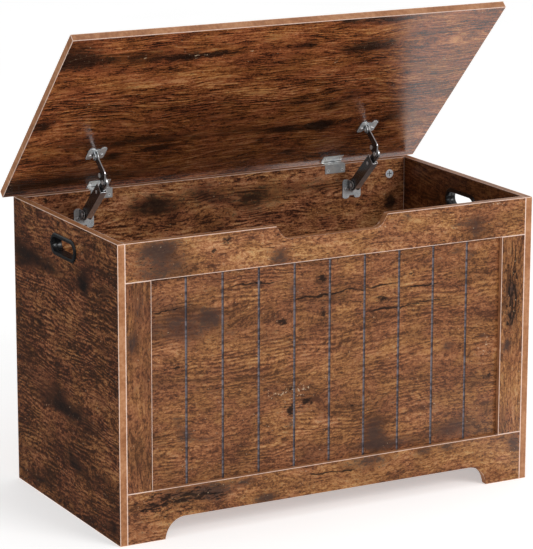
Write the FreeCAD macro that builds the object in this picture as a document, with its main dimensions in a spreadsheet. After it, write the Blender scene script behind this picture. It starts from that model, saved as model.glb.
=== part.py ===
import FreeCAD, Part
import math
import os
import Sketcher

# Wooden toy box: a lift-lid chest of 12 mm laminated boards with a framed beadboard front,
# two plastic handle rings, two butt hinges and two spring lid stays.
# Frame: X to the right, Y to the back, Z up, origin on the floor under the middle of the
# open chest.  Every length is in millimetres.
# The lid is drawn at rest 46 degrees open.  Lid pieces are drawn in a closed-lid frame
# whose origin is the hinge axis, then turned open by their own Placement.

os.makedirs("parts", exist_ok=True)
doc = FreeCAD.newDocument("wooden_toy_box")
sheet = doc.addObject("Spreadsheet::Sheet", "dims")

V = FreeCAD.Vector
CLOSE = 0.01                   # two places nearer than this are the same place
TURN = {
    "x": FreeCAD.Rotation(V(0, 1, 0), 90),
    "y": FreeCAD.Rotation(V(1, 0, 0), -90),
    "z": FreeCAD.Rotation(),
}

# ---------------------------------------------------------------- dimensions
D = {}
D["board"] = 12.0              # every panel is one board thick
D["half_width"] = 364.0        # outside of each side panel
D["front_face"] = -200.2       # front of the frame and of the side panels
D["back_face"] = 184.8         # outside of the back panel
D["box_top"] = 467.5           # top edge of the body
D["back_bottom"] = 33.0        # the back panel stops short of the floor
D["floor_under"] = 46.0        # underside of the bottom panel

D["stile_wide"] = 42.6
D["top_rail_low"] = 407.5
D["foot_rail_top"] = 80.6
D["rebate_deep"] = 4.0         # step behind the frame that takes the beadboard
D["rebate_wide"] = 10.0
D["grip_top_half"] = 98.0      # finger cut-out, half width at the top edge
D["grip_floor_half"] = 84.3
D["grip_floor"] = 446.3
D["grip_hollow"] = 17.0        # rounding where its slopes meet its floor
D["grip_brow"] = 4.0           # rounding where its slopes meet the top edge
D["arch_foot_half"] = 289.0    # arch under the front, half width at the floor
D["arch_head_half"] = 280.0
D["arch_head"] = 33.0
D["arch_round"] = 33.0

D["bead_pitch"] = 62.0
D["bead_half"] = 2.0
D["bead_deep"] = 1.6
D["bead_count"] = 9.0

D["handle_along"] = -7.7       # middle of each handle
D["handle_height"] = 423.75
D["handle_wide"] = 93.0
D["handle_tall"] = 35.5
D["handle_lip"] = 4.0          # flange beyond the slot
D["handle_wall"] = 2.0
D["handle_proud"] = 3.0
D["handle_bevel"] = 1.8

D["dowel_half"] = 3.0
D["dowel_long"] = 24.0
D["dowel_sink"] = 9.0          # depth of a dowel or bolt in the board it is driven into
D["dowel_in_stile"] = 19.0     # upright dowels, from the inner face of the side panel
D["dowel_front_sink"] = 8.0    # depth of the floor's front dowels in the foot rail
D["dowel_floor_x"] = 200.0
D["dowel_floor_fore"] = -100.0
D["dowel_floor_mid"] = -5.0
D["dowel_floor_aft"] = 90.0
D["dowel_back_high"] = 409.0
D["dowel_back_mid"] = 275.0
D["dowel_back_low"] = 142.0
D["dowel_rail"] = 422.0
D["dowel_foot_low"] = 20.0
D["dowel_foot_high"] = 62.0
D["dowel_stile_low"] = 160.0
D["dowel_stile_mid"] = 244.0
D["dowel_stile_high"] = 330.0
D["cam_high"] = 441.0
D["cam_back_low"] = 110.0
D["cam_front_low"] = 41.0
D["cam_floor_fore"] = -140.0
D["cam_floor_aft"] = 130.0
D["cam_half"] = 7.5
D["cam_deep"] = 10.0
D["cam_inset"] = 29.3          # middle of a cam from the end of its board
D["cam_entry"] = 3.5           # bore that lets the bolt reach the cam
D["cam_past"] = 3.2            # that bore runs on past the middle of the cam
D["cam_cross_long"] = 9.0      # cross slot in the cam
D["cam_cross_wide"] = 1.4
D["cam_cross_deep"] = 2.0
D["bolt_head_half"] = 2.0      # half length of the bolt's head, on the middle of the cam
D["bolt_neck_end"] = 6.0       # its neck ends this far from the middle of the cam
D["bolt_half"] = 3.0
D["bolt_neck"] = 1.8
D["bolt_thread"] = 2.5

D["lid_wide"] = 760.0
D["lid_deep"] = 402.0
D["lid_open"] = 46.0           # rest angle from closed
D["hinge_along"] = 187.1       # hinge axis, Y and Z
D["hinge_height"] = 467.3
D["lid_above"] = 2.2           # underside of the closed lid above the hinge axis
D["lid_behind"] = 4.2          # rear edge of the closed lid behind the hinge axis

D["hinge_x"] = 216.0
D["hinge_long"] = 38.5
D["leaf"] = 0.8
D["knuckle"] = 1.9
D["knuckle_half"] = 6.4        # half length of the middle knuckle
D["knuckle_gap"] = 0.3
D["knuckle_clear"] = 2.25      # room round the lid leaf's knuckle in the box leaf
D["notch_deep"] = 6.0
D["notch_drop"] = 3.0
D["notch_tall"] = 8.0
D["flap_clear"] = 1.75         # room round the box leaf's knuckles in the lid leaf
D["flap_clear_deep"] = 3.0
D["hinge_pin"] = 1.0
D["pin_play"] = 0.03
D["box_leaf_low"] = 452.0
D["lid_leaf_front"] = 17.0
D["hinge_screw_half"] = 13.5
D["box_screw_height"] = 457.0
D["lid_screw_front"] = 10.0

D["stay_x"] = 248.0
D["link_along"] = 27.1         # both pivots of a stay step by this much: the stay, the lid
D["link_rise"] = 35.8          # and the box stand as a parallelogram at every lid angle
D["lid_pivot_front"] = 96.3
D["lid_pivot_drop"] = 5.43
D["stay_plate"] = 1.5
D["foot_ear_x"] = 11.0
D["foot_ear_wide"] = 13.0
D["foot_tall"] = 33.0
D["foot_mid"] = 423.0
D["foot_web_tall"] = 23.0
D["ear_round"] = 5.0
D["cheek_inner"] = 6.0
D["cheek_round"] = 6.6
D["pivot"] = 2.0
D["pivot_play"] = 0.04
D["case_half"] = 5.5
D["case_side"] = 9.5
D["case_wall"] = 1.2
D["case_long"] = 80.0
D["bar_half"] = 1.5
D["bar_side"] = 7.5
D["bar_start"] = 58.6
D["slide_rivet"] = 68.0
D["seat_at"] = 24.0
D["seat_thick"] = 2.0
D["coil"] = 3.4
D["coil_wire"] = 0.6
D["coil_pitch"] = 3.2
D["adjuster"] = 2.4
D["adjuster_start"] = 12.5
D["adjuster_end"] = 37.0
D["adjuster_flats"] = 4.0
D["adjuster_head"] = 3.2
D["seat_drop"] = 2.0           # top of the spring seat below the rim of the casing
D["coil_ends"] = 0.01          # room at each end of the spring
D["heel_open"] = 3.0           # heel of the casing, cut open round the foot pivot
D["link_left"] = -4.0
D["link_thick"] = 2.2
D["link_side"] = 5.5
D["knee_along"] = 10.5         # knee of the upper arm, along and off the line of its pivots
D["knee_out"] = 9.3
D["stop_along"] = 13.9         # stop rivet, likewise
D["stop_in"] = 3.4
D["rivet_head"] = 3.75
D["rivet_flat"] = 1.2          # thickness of a rivet's head
D["slide_head"] = 3.0
D["slide_flat"] = 0.9
D["pin_head"] = 3.2
D["lid_pin_head"] = 3.0
D["lid_pin_flat"] = 1.0
D["bar_shim"] = 0.3            # elbow rivet's head stands this far off the bar
D["clevis_gap"] = 0.4
D["lid_ear_x"] = 10.0
D["lid_ear_wide"] = 12.0
D["lid_foot_long"] = 29.0
D["lid_foot_screws"] = 92.3
D["lid_web_long"] = 20.0
D["screw_head"] = 3.2
D["screw_core"] = 1.5
D["screw_long"] = 10.0
D["screw_point"] = 2.0
D["screw_tip"] = 0.2
D["screw_draft"] = 0.01
D["flush_head"] = 2.8          # countersunk hinge screws
D["flush_tall"] = 1.7
D["flush_cross_deep"] = 0.7
D["pan_step"] = 1.0            # pan head screws of the stays: two steps, each this tall
D["pan_top"] = 2.1
D["pan_shoulder"] = 3.0
D["pan_cross_deep"] = 1.2
D["cross_long"] = 3.2
D["cross_wide"] = 0.6

D["past"] = 1.0                # every cutting tool runs this far past what it cuts
D["reach"] = 12.0              # half length of the tools that bore across a stay

# values that follow from the ones above
D["width"] = 2 * D["half_width"]
D["inside_half"] = D["half_width"] - D["board"]
D["inside_width"] = 2 * D["inside_half"]
D["depth"] = D["back_face"] - D["front_face"]
D["frame_back"] = D["front_face"] + D["board"]
D["back_inner"] = D["back_face"] - D["board"]
D["window_half"] = D["inside_half"] - D["stile_wide"]
D["bead_panel_half"] = D["window_half"] + D["rebate_wide"]
D["bead_panel_low"] = D["foot_rail_top"] - D["rebate_wide"]
D["bead_panel_top"] = D["top_rail_low"] + D["rebate_wide"]
D["bead_run"] = (D["bead_count"] - 1) * D["bead_pitch"]
D["bead_first_left"] = D["bead_run"] / 2 + D["bead_half"]
D["bead_first_right"] = D["bead_run"] / 2 - D["bead_half"]
D["bead_front"] = D["frame_back"] - D["rebate_deep"]
D["bead_bottom"] = D["bead_front"] + D["bead_deep"]
D["zero"] = 0.0
D["foot_y"] = D["hinge_along"] - D["link_along"]
D["foot_z"] = D["hinge_height"] - D["link_rise"]
D["arm_long"] = math.hypot(D["lid_pivot_front"], D["lid_pivot_drop"])
D["arm_open"] = D["lid_open"] - math.degrees(math.atan2(D["lid_pivot_drop"], D["lid_pivot_front"]))
D["link_long"] = math.hypot(D["link_along"], D["link_rise"])
D["link_turn"] = math.degrees(math.atan2(D["link_rise"], D["link_along"]))
D["lid_half"] = D["lid_wide"] / 2
D["lid_front_edge"] = D["lid_behind"] - D["lid_deep"]
D["elbow_y"] = D["foot_y"] - D["arm_long"] * math.cos(math.radians(D["arm_open"]))
D["elbow_z"] = D["foot_z"] + D["arm_long"] * math.sin(math.radians(D["arm_open"]))

for row, (alias, number) in enumerate(D.items(), 1):
    sheet.set("A%d" % row, alias)
    sheet.set("B%d" % row, repr(float(number)))
    sheet.setAlias("B%d" % row, alias)
doc.recompute()


# ---------------------------------------------------------------- helpers
def bind(obj, prop, expression):
    """Tie one property to the sheet."""
    obj.setExpression(prop, expression)
    return obj


def place(obj, at, axis="z"):
    """Bind a position; the axis letter turns a +Z primitive to that direction."""
    obj.Placement = FreeCAD.Placement(V(0, 0, 0), TURN[axis])
    for letter, expression in zip("xyz", at):
        bind(obj, "Placement.Base." + letter, expression)
    return obj


def block(name, at, size):
    obj = doc.addObject("Part::Box", name)
    for prop, expression in zip(("Length", "Width", "Height"), size):
        bind(obj, prop, expression)
    return place(obj, at)


def rod(name, at, radius, length, axis):
    obj = doc.addObject("Part::Cylinder", name)
    bind(obj, "Radius", radius)
    bind(obj, "Height", length)
    return place(obj, at, axis)


def taper(name, at, first, second, length, axis):
    obj = doc.addObject("Part::Cone", name)
    bind(obj, "Radius1", first)
    bind(obj, "Radius2", second)
    bind(obj, "Height", length)
    return place(obj, at, axis)


def fuse(name, shapes):
    obj = doc.addObject("Part::MultiFuse", name)
    obj.Shapes = shapes
    obj.Refine = True
    return obj


def cut(name, base, tools):
    obj = doc.addObject("Part::Cut", name)
    obj.Base = base
    obj.Tool = tools[0] if len(tools) == 1 else fuse(name + "_tools", tools)
    return obj


def group(name, shapes):
    obj = doc.addObject("Part::Compound", name)
    obj.Links = shapes
    return obj


def origin_plane(body, role):
    for feature in body.Origin.OriginFeatures:
        if feature.Role == role:
            return feature
    raise ValueError(role)


def number(term):
    """Value of a signed sheet name such as -half_width."""
    if term.startswith("-"):
        return -D[term[1:]]
    return D[term]


def outline(body, name, role, corners):
    """Closed sketch whose corners are pairs of signed sheet names."""
    sketch = body.newObject("Sketcher::SketchObject", name)
    sketch.AttachmentSupport = [(origin_plane(body, role), "")]
    sketch.MapMode = "FlatFace"
    points = [V(number(a), number(b), 0) for a, b in corners]
    count = len(points)
    for i in range(count):
        sketch.addGeometry(Part.LineSegment(points[i], points[(i + 1) % count]), False)
    for i in range(count):
        sketch.addConstraint(Sketcher.Constraint("Coincident", i, 2, (i + 1) % count, 1))
    for i, pair in enumerate(corners):
        for kind, term in zip(("DistanceX", "DistanceY"), pair):
            sign = -1.0 if number(term) < 0 else 1.0
            ends = (-1, 1, i, 1) if sign > 0 else (i, 1, -1, 1)
            where = sketch.addConstraint(Sketcher.Constraint(kind, *ends, abs(number(term))))
            if number(term) != 0:
                plain = term.lstrip("-")
                if D[plain] < 0:
                    sketch.setExpression("Constraints[%d]" % where, "-dims." + plain)
                else:
                    sketch.setExpression("Constraints[%d]" % where, "dims." + plain)
    return sketch


def pad(body, name, sketch, length):
    feature = body.newObject("PartDesign::Pad", name)
    feature.Profile = sketch
    bind(feature, "Length", length)
    body.Tip = feature
    doc.recompute()
    return feature


def pocket(body, name, sketch):
    """Pocket right through the body."""
    before = body.Shape.Volume
    feature = body.newObject("PartDesign::Pocket", name)
    feature.Profile = sketch
    feature.Type = "ThroughAll"
    feature.Midplane = True
    body.Tip = feature
    doc.recompute()
    if not body.Shape.Volume < before - CLOSE:
        raise ValueError(name + " removes nothing")
    return feature


def edges_near(shape, spots):
    """Names of the edges along Y that pass through the given (x, z) spots."""
    found = []
    for i, edge in enumerate(shape.Edges, 1):
        box = edge.BoundBox
        if box.YLength < CLOSE or box.XLength > CLOSE or box.ZLength > CLOSE:
            continue
        for x, z in spots:
            if abs(box.Center.x - x) < CLOSE and abs(box.Center.z - z) < CLOSE:
                found.append("Edge%d" % i)
    return found


def round_off(body, name, spots, radius):
    base = body.Tip
    feature = body.newObject("PartDesign::Fillet", name)
    feature.Base = (base, edges_near(base.Shape, spots))
    bind(feature, "Radius", radius)
    body.Tip = feature
    doc.recompute()
    return feature


def stadium(name, across, half_tall, start, length, at=("dims.handle_along", "dims.handle_height")):
    """Round-ended bar along X; across is the distance between its end centres."""
    along, height = at
    parts = [block(name + "_mid",
                   (start, "%s - (%s) / 2" % (along, across), "%s - (%s)" % (height, half_tall)),
                   (length, across, "2 * (%s)" % half_tall))]
    for tag, sign in (("f", "-"), ("b", "+")):
        parts.append(rod(name + "_" + tag,
                         (start, "%s %s (%s) / 2" % (along, sign, across), height),
                         half_tall, length, "x"))
    return fuse(name, parts)


NODES = []


def node(obj, label):
    """Name a finished sub-part."""
    obj.Label = label
    NODES.append(obj)
    return obj


SIDES = (("left", -1), ("right", 1))


def signed(sign, expression):
    return expression if sign > 0 else "-(" + expression + ")"


def span_start(sign, near, length):
    """Low X of a span that begins at near and runs outward by length on one side."""
    if sign > 0:
        return near
    return "-(%s) - (%s)" % (near, length)


# ---------------------------------------------------------------- dowels, bolts and cams
# Each joint between a board end and a side panel: (name, y, z, cam axis or None).
mid_back = "dims.back_inner + dims.board / 2"
mid_front = "dims.front_face + dims.board / 2"
mid_floor = "dims.floor_under + dims.board / 2"
CAM_JOINTS = (
    ("back_high", mid_back, "dims.cam_high", "back"),
    ("back_low", mid_back, "dims.cam_back_low", "back"),
    ("front_high", mid_front, "dims.cam_high", "front"),
    ("front_low", mid_front, "dims.cam_front_low", "front"),
    ("floor_fore", "dims.cam_floor_fore", mid_floor, "floor"),
    ("floor_aft", "dims.cam_floor_aft", mid_floor, "floor"),
)
END_DOWELS = (
    ("back_a", mid_back, "dims.dowel_back_high", "back"),
    ("back_b", mid_back, "dims.dowel_back_mid", "back"),
    ("back_c", mid_back, "dims.dowel_back_low", "back"),
    ("rail_a", mid_front, "dims.dowel_rail", "top_rail"),
    ("foot_a", mid_front, "dims.dowel_foot_low", "foot_rail"),
    ("foot_b", mid_front, "dims.dowel_foot_high", "foot_rail"),
    ("stile_a", mid_front, "dims.dowel_stile_low", "stile"),
    ("stile_b", mid_front, "dims.dowel_stile_mid", "stile"),
    ("stile_c", mid_front, "dims.dowel_stile_high", "stile"),
    ("floor_a", "dims.dowel_floor_fore", mid_floor, "floor"),
    ("floor_b", "dims.dowel_floor_mid", mid_floor, "floor"),
    ("floor_c", "dims.dowel_floor_aft", mid_floor, "floor"),
)

dowels = []
bolts = []
cams = []
bores = {"left_side": [], "right_side": [], "back": [], "floor": [], "top_rail": [],
         "foot_rail": [], "left_stile": [], "right_stile": []}


def board_of(tag, side):
    return side + "_stile" if tag == "stile" else tag


for side, sign in SIDES:
    for tag, along, height, board in END_DOWELS:
        start = span_start(sign, "dims.inside_half - dims.dowel_long + dims.dowel_sink",
                           "dims.dowel_long")
        dowel = rod("dowel_%s_%s" % (side, tag), (start, along, height),
                    "dims.dowel_half", "dims.dowel_long", "x")
        dowels.append(dowel)
        bores[side + "_side"].append(dowel)
        bores[board_of(board, side)].append(dowel)

# upright dowels between the stiles and the rails
for side, sign in SIDES:
    for tag, height, board in (("top", "dims.top_rail_low", "top_rail"),
                               ("foot", "dims.foot_rail_top", "foot_rail")):
        dowel = rod("dowel_%s_%s" % (side, tag),
                    (signed(sign, "dims.inside_half - dims.dowel_in_stile"), mid_front,
                     height + " - dims.dowel_long / 2"),
                    "dims.dowel_half", "dims.dowel_long", "z")
        dowels.append(dowel)
        bores[side + "_stile"].append(dowel)
        bores[board].append(dowel)

# dowels between the bottom panel and the front rail
for i, where in enumerate(("-dims.dowel_floor_x", "0", "dims.dowel_floor_x")):
    dowel = rod("dowel_floor_front_%d" % i,
                (where, "dims.frame_back - dims.dowel_front_sink", mid_floor),
                "dims.dowel_half", "dims.dowel_long", "y")
    dowels.append(dowel)
    bores["floor"].append(dowel)
    bores["foot_rail"].append(dowel)


CAM_AT = "dims.inside_half - dims.cam_inset"


def cam_bolt(name, sign, along, height):
    """Threaded end in the side panel, plain shank, thin neck and a head inside the cam."""
    steps = (
        ("thread", "dims.inside_half", "dims.dowel_sink", "dims.bolt_thread"),
        ("shank", CAM_AT + " + dims.bolt_neck_end", "dims.cam_inset - dims.bolt_neck_end",
         "dims.bolt_half"),
        ("neck", CAM_AT + " + dims.bolt_head_half", "dims.bolt_neck_end - dims.bolt_head_half",
         "dims.bolt_neck"),
        ("head", CAM_AT + " - dims.bolt_head_half", "2 * dims.bolt_head_half",
         "dims.bolt_half"),
    )
    pieces = []
    for part, near, length, radius in steps:
        pieces.append(rod(name + "_" + part, (span_start(sign, near, length), along, height),
                          radius, length, "x"))
    return fuse(name, pieces), pieces[0]


def cam_nut(name, sign, along, height, board):
    """Round cam let into the hidden face of its board, with a cross slot and a bolt entry."""
    middle = signed(sign, CAM_AT)
    if board == "back":
        at, axis = (middle, "dims.back_inner", height), "y"
        slot_at = "dims.back_inner"
    elif board == "front":
        at, axis = (middle, "dims.frame_back - dims.cam_deep", height), "y"
        slot_at = "dims.frame_back - dims.cam_cross_deep"
    else:
        at, axis = (middle, along, "dims.floor_under"), "z"
        slot_at = "dims.floor_under"
    disc = rod(name + "_disc", at, "dims.cam_half", "dims.cam_deep", axis)
    entry_long = "dims.cam_half + dims.cam_past"
    entry = rod(name + "_entry",
                (span_start(sign, CAM_AT + " - dims.cam_past", entry_long), along, height),
                "dims.cam_entry", entry_long, "x")
    tools = [entry]
    strokes = (("dims.cam_cross_long", "dims.cam_cross_wide"),
               ("dims.cam_cross_wide", "dims.cam_cross_long"))
    for i, (wide, tall) in enumerate(strokes):
        left = "%s - %s / 2" % (middle, wide)
        if axis == "y":
            corner = (left, slot_at, "%s - %s / 2" % (height, tall))
            size = (wide, "dims.cam_cross_deep", tall)
        else:
            corner = (left, "%s - %s / 2" % (along, tall), slot_at)
            size = (wide, tall, "dims.cam_cross_deep")
        tools.append(block("%s_slot%d" % (name, i), corner, size))
    return cut(name, disc, tools), disc


for side, sign in SIDES:
    for tag, along, height, board in CAM_JOINTS:
        bolt, thread = cam_bolt("bolt_%s_%s" % (side, tag), sign, along, height)
        nut, disc = cam_nut("cam_%s_%s" % (side, tag), sign, along, height, board)
        lane_long = "dims.cam_inset + dims.cam_past"
        lane = rod("lane_%s_%s" % (side, tag),
                   (span_start(sign, CAM_AT + " - dims.cam_past", lane_long), along, height),
                   "dims.cam_entry", lane_long, "x")
        bolts.append(bolt)
        cams.append(nut)
        target = board
        if board == "front":
            target = "top_rail" if tag == "front_high" else "foot_rail"
        bores[side + "_side"].append(thread)
        bores[target].extend([disc, lane])

node(group("dowels", dowels), "dowels")
node(group("cam_bolts", bolts), "cam_bolts")
node(group("cam_nuts", cams), "cam_nuts")


# ---------------------------------------------------------------- screws
def screw(name, at, axis, forward, style):
    """Wood screw with a cross slot.  forward is +1 when its point looks along the axis."""
    index = "xyz".index(axis)

    def shift(amount):
        moved = list(at)
        moved[index] = "%s %s (%s)" % (at[index], "+" if forward > 0 else "-", amount)
        return tuple(moved)

    def step(tag, offset, length, near, far):
        if forward > 0:
            return taper(name + tag, shift(offset), near, far, length, axis)
        return taper(name + tag, shift("%s + %s" % (offset, length)), far, near, length, axis)

    pieces = []
    if style == "flush":
        pieces.append(step("_head", "0", "dims.flush_tall", "dims.flush_head",
                           "dims.screw_core + dims.screw_draft"))
        slot_depth = "dims.flush_cross_deep"
        top = "0"
    else:
        pieces.append(step("_head", "-2 * dims.pan_step", "dims.pan_step", "dims.pan_top",
                           "dims.pan_shoulder"))
        pieces.append(step("_rim", "-dims.pan_step", "dims.pan_step", "dims.pan_shoulder",
                           "dims.screw_head"))
        slot_depth = "dims.pan_cross_deep"
        top = "-2 * dims.pan_step"
    shank_long = "dims.screw_long - dims.screw_point"
    pieces.append(step("_shank", "0", shank_long, "dims.screw_core",
                       "dims.screw_core - dims.screw_draft"))
    pieces.append(step("_point", shank_long, "dims.screw_point",
                       "dims.screw_core - dims.screw_draft", "dims.screw_tip"))
    whole = fuse(name + "_whole", pieces)
    slots = []
    others = [k for k in range(3) if k != index]
    for i, long_way in enumerate(others):
        size = ["dims.cross_wide"] * 3
        size[long_way] = "dims.cross_long"
        size[index] = slot_depth
        corner = list(shift(top if forward > 0 else "%s + %s" % (top, slot_depth)))
        for k in others:
            corner[k] = "%s - %s / 2" % (at[k], size[k])
        slots.append(block("%s_slot%d" % (name, i), tuple(corner), tuple(size)))
    return cut(name, whole, slots), whole


hinge_box_screws = []
hinge_lid_screws = []
stay_box_screws = []
stay_lid_screws = []
back_screw_holes = []
lid_screw_holes = []
leaf_holes = {}
for side, sign in SIDES:
    for end, step_sign in (("outer", 1), ("inner", -1)):
        across = "%s + (%d) * dims.hinge_screw_half" % (signed(sign, "dims.hinge_x"), step_sign)
        tag = "%s_%s" % (side, end)
        finished, whole = screw("hinge_box_screw_" + tag,
                                (across, "dims.back_inner - dims.leaf", "dims.box_screw_height"),
                                "y", 1, "flush")
        hinge_box_screws.append(finished)
        back_screw_holes.append(whole)
        leaf_holes.setdefault(side + "_box", []).append(whole)
        finished, whole = screw("hinge_lid_screw_" + tag,
                                (across, "-dims.lid_screw_front", "dims.lid_above - dims.leaf"),
                                "z", 1, "flush")
        hinge_lid_screws.append(finished)
        lid_screw_holes.append(whole)
        leaf_holes.setdefault(side + "_lid", []).append(whole)
        across = "%s + (%d) * dims.foot_ear_x" % (signed(sign, "dims.stay_x"), step_sign)
        finished, whole = screw("stay_box_screw_" + tag,
                                (across, "dims.back_inner - dims.stay_plate", "dims.foot_mid"),
                                "y", 1, "pan")
        stay_box_screws.append(finished)
        back_screw_holes.append(whole)
        leaf_holes.setdefault(side + "_foot", []).append(whole)
        across = "%s + (%d) * dims.lid_ear_x" % (signed(sign, "dims.stay_x"), step_sign)
        finished, whole = screw("stay_lid_screw_" + tag,
                                (across, "-dims.lid_foot_screws",
                                 "dims.lid_above - dims.stay_plate"), "z", 1, "pan")
        stay_lid_screws.append(finished)
        lid_screw_holes.append(whole)
        leaf_holes.setdefault(side + "_lid_foot", []).append(whole)

node(group("hinge_box_screws", hinge_box_screws), "hinge_box_screws")
node(group("stay_box_screws", stay_box_screws), "stay_box_screws")


def on_lid(obj):
    """Carry a piece drawn in the closed-lid frame to the open lid."""
    obj.Placement = FreeCAD.Placement(V(0, 0, 0), FreeCAD.Rotation(V(-1, 0, 0), D["lid_open"]))
    bind(obj, "Placement.Rotation.Angle", "dims.lid_open")
    bind(obj, "Placement.Base.y", "dims.hinge_along")
    bind(obj, "Placement.Base.z", "dims.hinge_height")
    return obj


on_lid(node(group("hinge_lid_screws", hinge_lid_screws), "hinge_lid_screws"))
on_lid(node(group("stay_lid_screws", stay_lid_screws), "stay_lid_screws"))

# ---------------------------------------------------------------- side panels
slot_across = "dims.handle_wide - dims.handle_tall"
slot_half = "dims.handle_tall / 2 - dims.handle_lip"
slot_long = "dims.board + 2 * dims.past"
window_long = "dims.board + 2 * dims.handle_proud + 2 * dims.past"
for side, sign in SIDES:
    body = doc.addObject("PartDesign::Body", side + "_side_board")
    sketch = outline(body, side + "_side_outline", "YZ_Plane",
                     (("front_face", "zero"), ("back_face", "zero"),
                      ("back_face", "box_top"), ("front_face", "box_top")))
    pad(body, side + "_side_pad", sketch, "dims.board")
    bind(body, "Placement.Base.x", span_start(sign, "dims.inside_half", "dims.board"))
    doc.recompute()
    slot = stadium(side + "_handle_slot", slot_across, slot_half,
                   span_start(sign, "dims.inside_half - dims.past", slot_long), slot_long)
    node(cut(side + "_side_panel", body, [slot] + bores[side + "_side"]), side + "_side_panel")

# ---------------------------------------------------------------- back and bottom panels
back_board = block("back_board", ("-dims.inside_half", "dims.back_inner", "dims.back_bottom"),
                   ("dims.inside_width", "dims.board", "dims.box_top - dims.back_bottom"))
node(cut("back_panel", back_board, bores["back"] + back_screw_holes), "back_panel")

floor_board = block("floor_board", ("-dims.inside_half", "dims.frame_back", "dims.floor_under"),
                    ("dims.inside_width", "dims.back_inner - dims.frame_back", "dims.board"))
node(cut("bottom_panel", floor_board, bores["floor"]), "bottom_panel")

# ---------------------------------------------------------------- front frame
rebate = block("rebate", ("-dims.bead_panel_half", "dims.bead_front", "dims.bead_panel_low"),
               ("2 * dims.bead_panel_half", "dims.rebate_deep",
                "dims.bead_panel_top - dims.bead_panel_low"))


def frame_board(name, corners):
    """Board of the front frame drawn on the XZ plane; its pad grows towards the front."""
    body = doc.addObject("PartDesign::Body", name)
    sketch = outline(body, name + "_outline", "XZ_Plane", corners)
    pad(body, name + "_pad", sketch, "dims.board")
    bind(body, "Placement.Base.y", "dims.frame_back")
    doc.recompute()
    return body


top = frame_board("top_rail_board", (
    ("-inside_half", "top_rail_low"), ("inside_half", "top_rail_low"),
    ("inside_half", "box_top"), ("grip_top_half", "box_top"),
    ("grip_floor_half", "grip_floor"), ("-grip_floor_half", "grip_floor"),
    ("-grip_top_half", "box_top"), ("-inside_half", "box_top")))
round_off(top, "grip_hollows", [(s * D["grip_floor_half"], D["grip_floor"]) for s in (-1, 1)],
          "dims.grip_hollow")
round_off(top, "grip_brows", [(s * D["grip_top_half"], D["box_top"]) for s in (-1, 1)],
          "dims.grip_brow")
node(cut("front_top_rail", top, [rebate] + bores["top_rail"]), "front_top_rail")

foot = frame_board("foot_rail_board", (
    ("-inside_half", "zero"), ("-arch_foot_half", "zero"), ("-arch_head_half", "arch_head"),
    ("arch_head_half", "arch_head"), ("arch_foot_half", "zero"), ("inside_half", "zero"),
    ("inside_half", "foot_rail_top"), ("-inside_half", "foot_rail_top")))
round_off(foot, "arch_rounds", [(s * D["arch_head_half"], D["arch_head"]) for s in (-1, 1)],
          "dims.arch_round")
node(cut("front_bottom_rail", foot, [rebate] + bores["foot_rail"]), "front_bottom_rail")

for side, sign in SIDES:
    stile = block(side + "_stile_board",
                  (span_start(sign, "dims.window_half", "dims.stile_wide"), "dims.front_face",
                   "dims.foot_rail_top"),
                  ("dims.stile_wide", "dims.board", "dims.top_rail_low - dims.foot_rail_top"))
    node(cut(side + "_stile", stile, [rebate] + bores[side + "_stile"]), side + "_stile")

# ---------------------------------------------------------------- beadboard panel
bead = doc.addObject("PartDesign::Body", "beadboard_panel")
sheet_outline = outline(bead, "bead_outline", "XY_Plane",
                        (("-bead_panel_half", "bead_front"), ("bead_panel_half", "bead_front"),
                         ("bead_panel_half", "frame_back"), ("-bead_panel_half", "frame_back")))
pad(bead, "bead_pad", sheet_outline, "dims.bead_panel_top - dims.bead_panel_low")
groove = outline(bead, "bead_groove", "XY_Plane",
                 (("-bead_first_left", "bead_front"), ("-bead_first_right", "bead_front"),
                  ("-bead_first_right", "bead_bottom"), ("-bead_first_left", "bead_bottom")))
first = pocket(bead, "bead_first", groove)
row = bead.newObject("PartDesign::LinearPattern", "bead_row")
row.Originals = [first]
row.Direction = (sheet_outline, ["H_Axis"])
bead.Tip = row
bind(row, "Length", "dims.bead_run")
bind(row, "Occurrences", "dims.bead_count")
bind(bead, "Placement.Base.z", "dims.bead_panel_low")
doc.recompute()
node(bead, "beadboard_panel")

# ---------------------------------------------------------------- handle rings
for side, sign in SIDES:
    for face in ("outer", "inner"):
        name = "%s_handle_%s_ring" % (side, face)
        half = "dims.board / 2"
        if face == "outer":
            flange_at = span_start(sign, "dims.half_width", "dims.handle_proud")
            sleeve_at = span_start(sign, "dims.half_width - dims.board / 2", half)
            proud = sign
        else:
            flange_at = span_start(sign, "dims.inside_half - dims.handle_proud",
                                   "dims.handle_proud")
            sleeve_at = span_start(sign, "dims.inside_half", half)
            proud = -sign
        flange = stadium(name + "_flange", slot_across, "dims.handle_tall / 2", flange_at,
                         "dims.handle_proud")
        doc.recompute()
        bevel = doc.addObject("Part::Chamfer", name + "_bevel")
        bevel.Base = flange
        board_x = D["half_width"] if face == "outer" else D["inside_half"]
        face_x = sign * board_x + proud * D["handle_proud"]
        rim = []
        for i, edge in enumerate(flange.Shape.Edges, 1):
            if abs(edge.BoundBox.XMin - face_x) < CLOSE and edge.BoundBox.XLength < CLOSE:
                rim.append((i, D["handle_bevel"], D["handle_bevel"]))
        bevel.Edges = rim
        sleeve = stadium(name + "_sleeve", slot_across, slot_half, sleeve_at, half)
        window = stadium(name + "_window", slot_across, slot_half + " - dims.handle_wall",
                         span_start(sign, "dims.inside_half - dims.handle_proud - dims.past",
                                    window_long), window_long)
        node(cut(name, fuse(name + "_solid", [bevel, sleeve]), [window]), name)

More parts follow.
